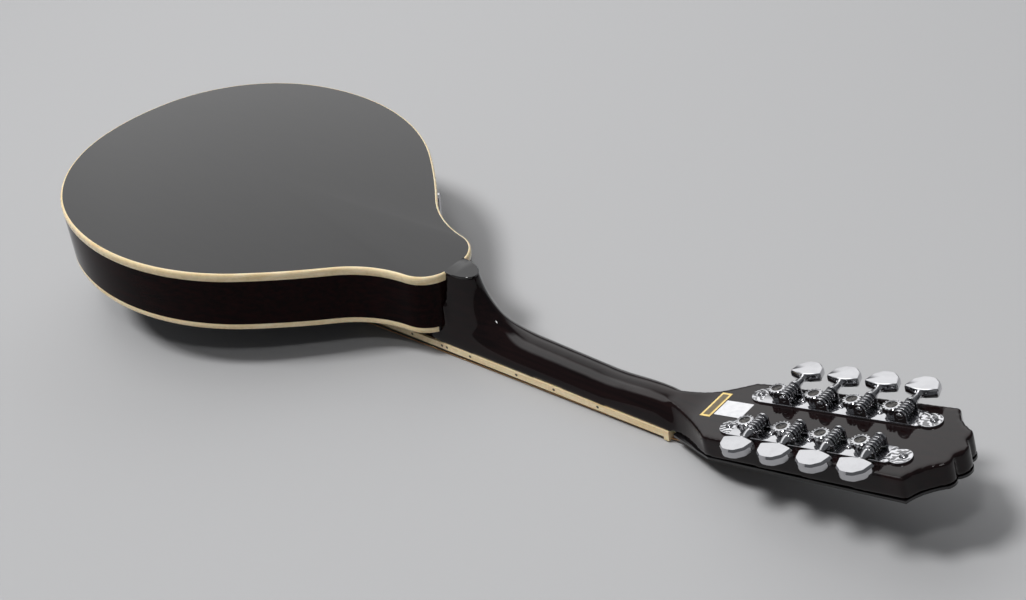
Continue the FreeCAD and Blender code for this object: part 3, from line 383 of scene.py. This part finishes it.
def engraved(name, colour):
    """Plated metal with fine rolled scroll lines; the darker colour at the bottom of the cuts is painted shade."""
    material, nodes, links, shader = new_material(name)
    shader.inputs["Metallic"].default_value = 1.0
    shader.inputs["Roughness"].default_value = 0.14
    scrolls = wave(nodes, links, 260)
    scrolls.wave_type = "RINGS"
    scrolls.inputs["Distortion"].default_value = 7
    scrolls.inputs["Detail"].default_value = 1.5
    # Painted shade: the bottom of the cuts is darkened, as shade would fall there.
    cut_shade = tuple(c * 0.3 for c in colour)
    lines = ramp(nodes, links, scrolls.outputs["Fac"], [(0.25, cut_shade), (0.55, colour)])
    links.new(lines, shader.inputs["Base Color"])
    bump(nodes, links, shader, scrolls.outputs["Fac"], 0.55, 0.0002)
    return material


def wound(name, shaded_groove, crest):
    """Wound string: fine turns across its length, the grooves between them darkened with painted shade."""
    material, nodes, links, shader = new_material(name)
    shader.inputs["Metallic"].default_value = 1.0
    shader.inputs["Roughness"].default_value = 0.3
    turns = wave(nodes, links, 700)
    # Painted shade: the grooves between the turns are darker than the crests.
    colour = ramp(nodes, links, turns.outputs["Fac"], [(0.0, shaded_groove), (1.0, crest)])
    links.new(colour, shader.inputs["Base Color"])
    bump(nodes, links, shader, turns.outputs["Fac"], 0.6, 0.0002)
    return material


def timber(name, light, dark, roughness):
    """Wood with grain along X and fine open pores."""
    material, nodes, links, shader = new_material(name)
    grain = noise(nodes, links, 70, 8, (0.12, 3, 3))
    links.new(ramp(nodes, links, grain, [(0.35, dark), (0.65, light)]), shader.inputs["Base Color"])
    shader.inputs["Roughness"].default_value = roughness
    bump(nodes, links, shader, noise(nodes, links, 630, 6, (0.06, 2, 2)), 0.2, 0.0003)
    return material


def pearl(name, light, dark):
    """Clouded mother of pearl."""
    material, nodes, links, shader = new_material(name)
    cloud = noise(nodes, links, 420, 6)
    links.new(ramp(nodes, links, cloud, [(0.35, dark), (0.65, light)]), shader.inputs["Base Color"])
    shader.inputs["Roughness"].default_value = 0.15
    shader.inputs["Sheen Weight"].default_value = 0.3
    return material


def paper(name, light, dark):
    """A printed sticker or a drop of ink, slightly uneven."""
    material, nodes, links, shader = new_material(name)
    cloud = noise(nodes, links, 300, 5)
    links.new(ramp(nodes, links, cloud, [(0.3, dark), (0.6, light)]), shader.inputs["Base Color"])
    shader.inputs["Roughness"].default_value = 0.35
    bump(nodes, links, shader, noise(nodes, links, 1500, 4), 0.08, 0.0001)
    return material


BLACK = lacquer("black_lacquer", (0.0035, 0.0032, 0.0035), (0.006, 0.005, 0.0055))
SIDE = lacquer("side_lacquer", (0.004, 0.002, 0.0022), (0.012, 0.003, 0.003), 0.02, 1.12)
NECK = lacquer("neck_lacquer", (0.004, 0.0022, 0.0024), (0.009, 0.004, 0.004), 0.0, 1.32)
CREAM = celluloid("cream_binding", (0.86, 0.71, 0.46), (0.76, 0.58, 0.31))
CHROME = metal("chromed_metal", (0.50, 0.50, 0.515), 0.04, 0.10)
# Painted shade: near-black metal laid in the gears' recessed centres, where shade falls.
RECESS_SHADE_METAL = metal("painted_recess_shade", (0.10, 0.095, 0.09), 0.2, 0.35)
ENGRAVED = engraved("engraved_metal", (0.62, 0.62, 0.64))
STEEL = metal("steel", (0.6, 0.6, 0.61), 0.2, 0.34, 0.1)
FRET_METAL = metal("fret_metal", (0.72, 0.71, 0.66), 0.16, 0.26, 0.08)
BRASS = metal("brass_wheel", (0.80, 0.60, 0.28), 0.2, 0.34, 0.1)
BRONZE = wound("wound_metal", (0.32, 0.16, 0.07), (0.86, 0.55, 0.3))
BOARD = timber("board_wood", (0.075, 0.03, 0.018), (0.022, 0.01, 0.007), 0.42)
BARE = timber("bare_wood", (0.62, 0.46, 0.28), (0.45, 0.31, 0.17), 0.65)
PEARL = pearl("dot_pearl", (0.93, 0.9, 0.84), (0.62, 0.6, 0.55))
GUARD = lacquer("guard_plastic", (0.012, 0.008, 0.008), (0.02, 0.012, 0.01))
# Real black side dots, and also the painted shade of the gear screws' slots.
INK_AND_SLOT_SHADE = paper("dot_ink_and_slot_shade", (0.012, 0.011, 0.01), (0.006, 0.006, 0.006))
GOLD = paper("gold_label", (0.80, 0.60, 0.22), (0.66, 0.47, 0.14))
LABEL_DARK = paper("label_panel", (0.13, 0.10, 0.05), (0.08, 0.06, 0.03))
WHITE = paper("white_label", (0.70, 0.70, 0.71), (0.60, 0.60, 0.62))

SLOTS = {
    "black_lacquer": BLACK, "side_lacquer": SIDE, "cream_binding": CREAM, "board_wood": BOARD,
    "bare_wood": BARE, "chromed_metal": CHROME, "fret_metal": FRET_METAL, "steel": STEEL,
    "wound_metal": BRONZE, "dot_pearl": PEARL, "brass_wheel": BRASS, "guard_plastic": GUARD,
}


def dress_nodes():
    """Every CAD node gets its slot's material."""
    slots = {part["node"]: part["material_slot"] for part in frame["record"]["subparts"]}
    for node, item in frame["nodes"].items():
        item.data.materials.clear()
        item.data.materials.append(SLOTS[slots[node]])


# ---------------------------------------------------------------- body

BINDING = 1.6
LEDGE = -3.4


def make_rim():
    """The two bindings, rounded on their outer edge, and the rib between them."""
    depth = -BODY_DEPTH
    back = [(BINDING, -5.4), (0.12, -5.5), (0.0, -5.3), (0.0, -1.9), (0.12, -1.2), (0.4, -0.6),
            (0.85, -0.2), (1.3, -0.05), (1.62, -0.02)]
    band("back_binding_strip", back, 9.4, CREAM, ["binding_back"])
    top = [(BINDING, depth), (0.9, depth + 0.08), (0.35, depth + 0.4), (0.08, depth + 0.9),
           (0.0, depth + 1.5), (0.0, depth + 4.2), (0.1, depth + 4.4), (BINDING, depth + 4.3)]
    band("top_binding_strip", top, 17.2, CREAM, ["binding_top"])
    wall = [(0.03, -39.4), (0.03, -30), (0.03, -15), (0.03, -5.4), (1.62, -5.3), (1.62, LEDGE),
            (2.5, LEDGE), (2.5, -40.4), (1.62, -40.4), (1.62, -39.5)]
    band("rib_wall", wall, 5.0, SIDE, ["side_bass", "side_treble"])


def make_back_shell():
    """The back inside its binding, with a slight crown over the bridge."""
    crown = 1.6
    levels = 26
    count = len(OUTLINE)
    inner = [(p.x - n.x * BINDING, p.y - n.y * BINDING) for p, n in OUTLINE]
    rings = []
    for level in range(levels):
        scale = math.cos(math.pi / 2 * level / levels)
        height = crown * (1 - scale * scale)
        rings.append([((x - BRIDGE) * scale + BRIDGE, y * scale, height) for x, y in inner])
    points, faces = skin_of_rings(rings, capped=False)
    points.append((BRIDGE, 0, crown))
    top = len(points) - 1
    last = (levels - 1) * count
    faces += [(last + j, last + (j + 1) % count, top) for j in range(count)]
    base = len(points)
    points += [(x, y, LEDGE) for x, y in inner]
    faces += [(j, base + j, base + (j + 1) % count, (j + 1) % count) for j in range(count)]
    faces.append(tuple(range(base, len(points))))
    build("back_shell", (points, faces), ROW, [BLACK], "root", ["back_plate"], 40)


def raise_volute(mesh):
    """Fills out the back of the neck where it runs into the head, on both sides of the nut."""
    peak, most = -3, 3.9
    neck_reach, head_reach = 44, 29
    full_height = 12
    place = ROW @ HEAD
    back = place.inverted()
    for vertex in mesh.vertices:
        along, across, height = back @ vertex.co
        from_peak = along - peak
        reach = neck_reach if from_peak < 0 else head_reach
        above_board = height - 2 + 0.235 * min(0, along)
        if abs(from_peak) < reach and above_board > 0:
            swell = math.cos(math.pi / 2 * from_peak / reach) ** 2
            lift = most * swell * eased(above_board / full_height)
            vertex.co = place @ Vector((along, across, height + lift))


def make_neck():
    """The CAD neck, remeshed finely and smoothed, so that heel, shaft and head flow together."""
    mesh = frame["nodes"]["neck"].data.copy()
    mesh.materials.clear()
    piece = finish_mesh("neck_carved", mesh, [NECK], "root", ["neck"], None)
    remesh = piece.modifiers.new("even", "REMESH")
    remesh.mode = "VOXEL"
    remesh.voxel_size = 0.0009
    apply_modifiers(piece)
    raise_volute(piece.data)
    smooth = piece.modifiers.new("blend", "SMOOTH")
    smooth.factor = 0.5
    smooth.iterations = 18
    apply_modifiers(piece)
    for polygon in piece.data.polygons:
        polygon.use_smooth = True


def make_heel_cap():
    """The lacquered cap of the heel, level with the back and tucked onto its edge."""
    wide, tip, start, edge, steps = 9.5, -151.3, -168.0, -171.0, 32
    outline = [(edge, -wide), (start, -wide)]
    for k in range(1, steps):
        angle = math.pi * k / steps
        outline.append((start + (tip - start) * math.sin(angle), -wide * math.cos(angle)))
    outline += [(start, wide), (edge, wide)]
    layers = [(-2.0, 0.95), (-0.5, 1.0), (-0.12, 0.99), (0.03, 0.965)]
    build("heel_cap", prism(outline, layers), ROW, [BLACK], "root")


def fret_place(number):
    """Where a fret is along X."""
    return -SCALE_LENGTH * (1 - 2 ** (-number / 12))


def make_side_dots():
    """Black dots in the board's edge at frets 3, 5, 7, 10, 12 and 15 on the bass side."""
    octave, octave_apart = 12, 2.1
    nut_half, widening = 27.4 / 2, 0.0348 / 2
    below_face = -2.35
    board = leaning(NECK_SLOPE, BOARD_ORIGIN)
    dot = lathe([(0.0, -0.05), (0.95, -0.05), (0.95, 0.02), (0.0, 0.02)], 24)
    parts = []
    for number in (3, 5, 7, 10, octave, 15):
        middle = (fret_place(number) + fret_place(number - 1)) / 2
        apart = (-octave_apart, octave_apart) if number == octave else (0,)
        for x in (middle + off for off in apart):
            edge = Matrix.Translation(Vector((x, -(nut_half - widening * x), below_face)))
            parts.append((dot, board @ edge @ Matrix.Rotation(math.radians(90), 4, "X")))
    build("side_dots", merged(parts), ROW, [INK_AND_SLOT_SHADE], "root")


# ---------------------------------------------------------------- tuners

GEAR_TEETH = 14
GEAR_OUTER = 5.1
GEAR_ROOT = 4.25
# Swaps Y and Z, so that a prism's height runs across.
UPRIGHT = Matrix(((1, 0, 0, 0), (0, 0, 1, 0), (0, 1, 0, 0), (0, 0, 0, 1)))


def tuner_spots():
    """Name, side and place along the head of each tuner."""
    found = []
    for word, side in (("bass", -1), ("treble", 1)):
        for number in range(4):
            found.append(("%s_%d" % (word, number + 1), side, FIRST_POST + number * TUNER_PITCH))
    return found


def worm_frame(side, along):
    """The worm's frame: Z off the head's edge, X back along the head to the post."""
    centre = Vector((along + WORM_BESIDE, side * POST_ROW, GEAR_MIDDLE))
    turn = Matrix(((-1, 0, 0, 0), (0, 0, side, 0), (0, side, 0, 0), (0, 0, 0, 1)))
    return HEAD @ Matrix.Translation(centre) @ turn


def make_button(name, side, along):
    """A cast keystone button: nearly straight towards the head, facetted round the outside."""
    half, inner, deep = 9.6, 14.9, 13.5
    rim = [(0.0, 0.0), (0.35, 0.02), (0.95, 0.16), (1.0, 0.22), (0.84, 0.66), (0.77, 0.73),
           (0.42, 0.95), (0.3, 0.98), (0.0, 1.0)]
    outline = [(half * x, inner + deep * y) for x, y in rim]
    outline += [(-x, y) for x, y in reversed(outline[1:-1])]
    layers = [(-2.8, 0.4), (-2.7, 0.9), (-1.2, 1.0), (1.3, 1.0), (2.5, 0.94), (2.72, 0.88), (2.8, 0.3)]
    hub = lathe([(0.0, 12.6), (1.75, 12.6), (1.9, 13.6), (2.5, 14.6), (2.6, 15.4), (2.0, 17.2),
                 (0.0, 17.2)], 32)
    shape = merged([(prism(outline, layers), UPRIGHT), (hub, Matrix())])
    build("button_" + name, shape, ROW @ worm_frame(side, along), [CHROME], "worm_" + name,
          ["tuner_button_" + name], 22)


def worm_radius(height, turn):
    """Radius of the thread at a height and an angle in turns; it fades out at both ends."""
    root, depth, pitch, reach = 1.75, 1.45, 2.244, 5.0
    phase = (height / pitch - turn) % 1.0
    off = abs(phase - 0.5) * 2
    crest = eased((off - 0.42) / 0.3)
    return root + depth * crest * clamped((reach - abs(height)) / 0.4)


def make_worm(name, side, along):
    """The worm between its two ears, with the shaft that carries the button."""
    steps, rows, half_length = 40, 130, 5.2
    rings = [ring_about_z(lambda turn: 1.9, -half_length - 0.14, steps)]
    for row in range(rows + 1):
        height = -half_length + 2 * half_length * row / rows
        rings.append(ring_about_z(lambda turn: worm_radius(height, turn), height, steps))
    thread = skin_of_rings(rings)
    rivet = lathe([(0.0, -7.5), (0.9, -7.42), (1.6, -7.2), (2.0, -6.85), (2.05, -6.62), (1.45, -6.6),
                   (1.45, -5.2), (0.0, -5.2)], 36)
    shaft = lathe([(0.0, 5.1), (1.45, 5.1), (1.45, 6.62), (2.9, 6.64), (3.0, 6.8), (3.0, 7.3),
                   (2.7, 7.5), (2.45, 8.2), (2.2, 10.4), (1.75, 12.0), (1.7, 13.4), (0.0, 13.4)], 40)
    shape = merged([(part, Matrix()) for part in (thread, rivet, shaft)])
    build("worm_shaft_" + name, shape, ROW @ worm_frame(side, along), [CHROME], "worm_" + name,
          ["tuner_worm_" + name], 50)


def tooth_radius(turn):
    """Radius of the gear at an angle in turns."""
    swing = math.cos(2 * math.pi * GEAR_TEETH * turn) + 0.15
    return GEAR_ROOT + (GEAR_OUTER - GEAR_ROOT) * clamped(0.5 + 1.3 * swing)


def make_post(name, side, along):
    """A string post with its collar and gear, and the slotted screw in the gear's dished centre; the floor of that
    centre and the screw are painted near-black as shade, and the slot is a dark bar of painted shade.
    """
    low, top = GEAR_MIDDLE - 1.8, GEAR_MIDDLE + 1.8
    place = ROW @ HEAD @ Matrix.Translation(Vector((along, side * POST_ROW, 0)))
    # Heights and radii; a minus radius is a toothed ring, by its share of the gear's radius.
    levels = [(-8.0, 0.01), (-8.0, 2.4), (-7.5, 2.95), (-5.35, 2.95), (-5.0, 2.1), (-2.2, 2.1),
              (-1.85, 2.95), (15.7, 2.95), (15.72, 3.9), (low, 3.9), (low + 0.01, -0.92),
              (low + 0.25, -1.0), (top - 0.35, -1.0), (top - 0.02, -0.94), (top, 3.95),
              (top + 0.1, 3.6), (top + 0.1, 3.15), (top - 0.1, 3.0), (top - 0.42, 2.95),
              (top - 0.42, 0.01)]
    rings = []
    for height, radius in levels:
        rings.append(ring_about_z(
            lambda turn: radius if radius > 0 else -radius * tooth_radius(turn), height, GEAR_TEETH * 10))
    build("post_gear_" + name, skin_of_rings(rings), place, [CHROME], "post_" + name,
          ["tuner_post_" + name], 40)
    floor = top - 0.4
    # Painted shade: a near-black disc on the floor of the gear's dished centre, and the screw in it is painted
    # near-black too.
    shade_disc = lathe([(0.0, floor), (2.9, floor), (2.9, floor + 0.02), (0.0, floor + 0.02)], 40)
    screw = lathe([(0.0, floor), (2.15, floor), (2.2, floor + 0.22), (1.9, floor + 0.38),
                   (0.0, floor + 0.44)], 40)
    build("gear_screw_painted_shade_" + name, merged([(shade_disc, Matrix()), (screw, Matrix())]), place, [RECESS_SHADE_METAL],
          "post_" + name)
    # Painted shade: the screw's slot is a near-black bar standing in for the shade in the groove.
    slot = [(-2.0, -0.28), (2.0, -0.28), (2.0, 0.28), (-2.0, 0.28)]
    slot_shade = prism(slot, [(floor + 0.2, 1.0), (floor + 0.455, 1.0)])
    turned = Matrix.Rotation(math.radians(35 + 50 * along), 4, "Z")
    build("gear_slot_painted_shade_" + name, merged([(slot_shade, turned)]), place, [INK_AND_SLOT_SHADE], "post_" + name)


def ray_exit(angle, centre, radius):
    """How far a ray from the origin at an angle goes before it leaves a circle, or zero."""
    along = centre[0] * math.cos(angle) + centre[1] * math.sin(angle)
    off = (centre[0] ** 2 + centre[1] ** 2) - along ** 2
    return along + math.sqrt(radius ** 2 - off) if off < radius ** 2 else 0.0


def strip_end(lobes, half_width):
    """The end of a strip: lobes joined round the strip's end, from lower to upper edge."""
    steps, straight = 56, 1.25
    found = []
    for k in range(steps + 1):
        angle = math.pi * (k / steps - 0.5)
        reach = max(ray_exit(angle, centre, radius) for centre, radius in lobes)
        edge = half_width / max(abs(math.sin(angle)), 1e-6)
        if abs(angle) > straight:
            reach = max(reach, edge)
        across = min(max(reach * math.sin(angle), -half_width), half_width)
        found.append((reach * math.cos(angle), across))
    return found


def inset_ring(outline, inset, height):
    """An outline moved inwards by an inset."""
    ring = []
    for k, (x, y) in enumerate(outline):
        before, after = outline[k - 1], outline[(k + 1) % len(outline)]
        run = Vector((after[0] - before[0], after[1] - before[1]))
        run = run.normalized() if run.length > 1e-6 else Vector((1, 0))
        ring.append((x - run.y * inset, y + run.x * inset, height))
    return ring


def ear_outline():
    """An ear from the side: an arch about the worm, flared at its foot."""
    half = 3.35
    foot = [(half + 0.9, HEAD_BACK + 0.6), (half + 0.25, HEAD_BACK + 1.5), (half, HEAD_BACK + 2.4)]
    arch = [(half * math.cos(math.pi * k / 24), GEAR_MIDDLE + half * math.sin(math.pi * k / 24))
            for k in range(25)]
    return foot + arch + [(-x, z) for x, z in reversed(foot)]


def make_strip(word, side):
    """The tuner strip of one row: base with scalloped ends, and two arched ears to each worm.
    The skins on its ends are engraved."""
    start, end = FIRST_POST - 7.5, LAST_POST + 13.5
    half_width, thick = 6.9, 1.1
    plain = [((3.0, 0.0), 6.4), ((0.0, 3.2), 3.4), ((0.0, -3.2), 3.4)]
    ornate = [((7.0, 0.0), 6.3), ((1.6, 4.4), 2.5), ((1.6, -4.4), 2.5), ((0.0, 0.0), 4.0)]
    near = [(start - x, -y) for x, y in strip_end(plain, half_width)]
    far = [(end + x, y) for x, y in strip_end(ornate, half_width)]
    bottom, top = HEAD_BACK + 0.01, HEAD_BACK + thick
    level = Matrix.Translation((0, side * POST_ROW, 0))
    edges = ((bottom, 0.0), (top - 0.25, 0.0), (top - 0.05, 0.08), (top, 0.25))
    base = skin_of_rings([inset_ring(far + near, inset, height) for height, inset in edges])
    parts = [(base, level)]
    for number in range(4):
        middle = FIRST_POST + number * TUNER_PITCH + WORM_BESIDE
        for low in (-6.6, 5.4):
            layers = [(low, 0.96), (low + 0.15, 1.0), (low + 1.05, 1.0), (low + 1.2, 0.96)]
            place = Matrix.Translation((middle, side * POST_ROW, 0)) @ UPRIGHT
            parts.append((prism(ear_outline(), layers), place))
    plain_faces = sum(len(faces) for (points, faces), place in parts)
    skin = [(top - 0.1, 0.94), (top + 0.04, 0.94), (top + 0.07, 0.91)]
    parts += [(prism(far, skin), level), (prism(near, skin), level)]
    piece = build("tuner_strip_" + word, merged(parts), ROW @ HEAD, [CHROME, ENGRAVED], "root",
                  ["tuner_plate_" + word], 40)
    for polygon in piece.data.polygons[plain_faces:]:
        polygon.material_index = 1


# ---------------------------------------------------------------- labels

LABELS = (
    # Name, two opposite corners, height over the head's back, material.
    ("label_gold", (27.6, -10), (34.4, 13.8), 0.06, GOLD),
    ("label_gold_panel", (29.0, -8.4), (33.0, 12.2), 0.15, LABEL_DARK),
    ("label_white", (35.2, -7), (53, 7.2), 0.06, WHITE),
)


def make_labels():
    """Two plain stickers on the back of the head, with no lettering."""
    thick = 0.08
    faces = [(3, 2, 1, 0), (4, 5, 6, 7), (0, 1, 5, 4), (1, 2, 6, 5), (2, 3, 7, 6), (3, 0, 4, 7)]
    for name, (x0, y0), (x1, y1), level, material in LABELS:
        points = []
        for z in (HEAD_BACK + level, HEAD_BACK + level + thick):
            points += [(x0, y0, z), (x1, y0, z), (x1, y1, z), (x0, y1, z)]
        build(name, (points, faces), ROW @ HEAD, [material], "root")


# ---------------------------------------------------------------- stage, light and camera

CAMERA_PLACE = Vector((316.13, -487.18, 485.31))
CAMERA_RIGHT = Vector((0.76489, 0.64260, -0.04488))
CAMERA_UP = Vector((-0.35894, 0.48303, 0.79865))
FOCAL_SHARE = 1.302534

PANELS = (
    # Name, direction in the body frame, distance, width, height, radiance, point aimed at.
    ("mirror_panel", (-0.58, 0.62, 0.55), 2.6, 4.4, 3.0, 1.3, (-200, 0, 0)),
    ("overhead_panel", (-0.535, -0.06, 0.84), 1.6, 1.4, 1.3, 2.8, (-120, 0, 0)),
    ("spark_panel", (0.22, -0.46, 0.86), 1.3, 0.22, 0.16, 45, (-120, 0, 0)),
)


def linked(name, data):
    """An object of some data, in the scene."""
    item = bpy.data.objects.new(name, data)
    bpy.context.scene.collection.objects.link(item)
    return item


def make_camera():
    """A camera beyond the head, above the bass side; its focal length is FOCAL_SHARE of the
    frame's width."""
    camera = bpy.data.cameras.new("camera")
    camera.sensor_width = 36
    camera.lens = FOCAL_SHARE * camera.sensor_width
    item = linked("camera", camera)
    right, up = (ROW_TURN @ CAMERA_RIGHT).normalized(), (ROW_TURN @ CAMERA_UP).normalized()
    back = right.cross(up)
    rotation = Matrix((right, up, back)).transposed().to_4x4()
    item.matrix_world = Matrix.Translation(ROW @ CAMERA_PLACE) @ rotation
    bpy.context.scene.camera = item


def soft_panel(name, toward, distance, width, height, radiance, centre):
    """A rectangular panel whose glow fades to its edges."""
    light = bpy.data.lights.new(name, "AREA")
    light.shape = "RECTANGLE"
    light.size = width
    light.size_y = height
    light.energy = radiance * math.pi * width * height
    light.use_nodes = True
    nodes, links = light.node_tree.nodes, light.node_tree.links
    where = nodes.new("ShaderNodeNewGeometry")
    split = nodes.new("ShaderNodeSeparateXYZ")
    links.new(where.outputs["Parametric"], split.inputs["Vector"])
    fades = []
    for axis in ("X", "Y"):
        offset = math_node(nodes, links, "SUBTRACT", split.outputs[axis], 0.5)
        away = math_node(nodes, links, "ABSOLUTE", offset)
        fades.append(map_range(nodes, links, away, 0.5, 0.2, 0.0, 1.0, "SMOOTHSTEP"))
    glow = math_node(nodes, links, "MULTIPLY", fades[0], fades[1])
    links.new(glow, nodes["Emission"].inputs["Strength"])
    item = linked(name, light)
    way = (ROW_TURN @ Vector(toward)).normalized()
    item.location = ROW @ Vector(centre) + way * distance
    item.rotation_euler = way.to_track_quat("Z", "Y").to_matrix().to_euler()


def make_key():
    """A soft sun from above, on the tail and bass side; polished faces don't mirror it."""
    sun = bpy.data.lights.new("key", "SUN")
    sun.energy = 2.3
    sun.angle = math.radians(14)
    item = linked("key", sun)
    item.rotation_euler = Vector((-0.34, -0.34, 0.88)).to_track_quat("Z", "Y").to_euler()
    item.visible_glossy = False


def make_stage():
    """The pale floor, the sky's faint light, the panels and the key light."""
    bpy.ops.mesh.primitive_plane_add(size=8, location=(0, 0, -0.0004))
    floor = bpy.context.object
    floor.name = "floor"
    material, nodes, links, shader = new_material("pale_floor")
    shader.inputs["Base Color"].default_value = (0.40, 0.40, 0.405, 1)
    shader.inputs["Roughness"].default_value = 0.8
    shader.inputs["Specular IOR Level"].default_value = 0.2
    floor.data.materials.append(material)
    world = bpy.data.worlds.new("world")
    bpy.context.scene.world = world
    world.use_nodes = True
    background = world.node_tree.nodes["Background"]
    background.inputs["Color"].default_value = (0.8, 0.82, 0.86, 1)
    background.inputs["Strength"].default_value = 0.18
    for panel in PANELS:
        soft_panel(*panel)
    make_key()
    bpy.context.scene.view_settings.view_transform = "Standard"


make_stage()
make_camera()
dress_nodes()
make_rim()
make_back_shell()
make_neck()
make_heel_cap()
make_side_dots()
make_labels()
for spot in tuner_spots():
    make_button(*spot)
    make_worm(*spot)
    make_post(*spot)
make_strip("bass", -1)
make_strip("treble", 1)
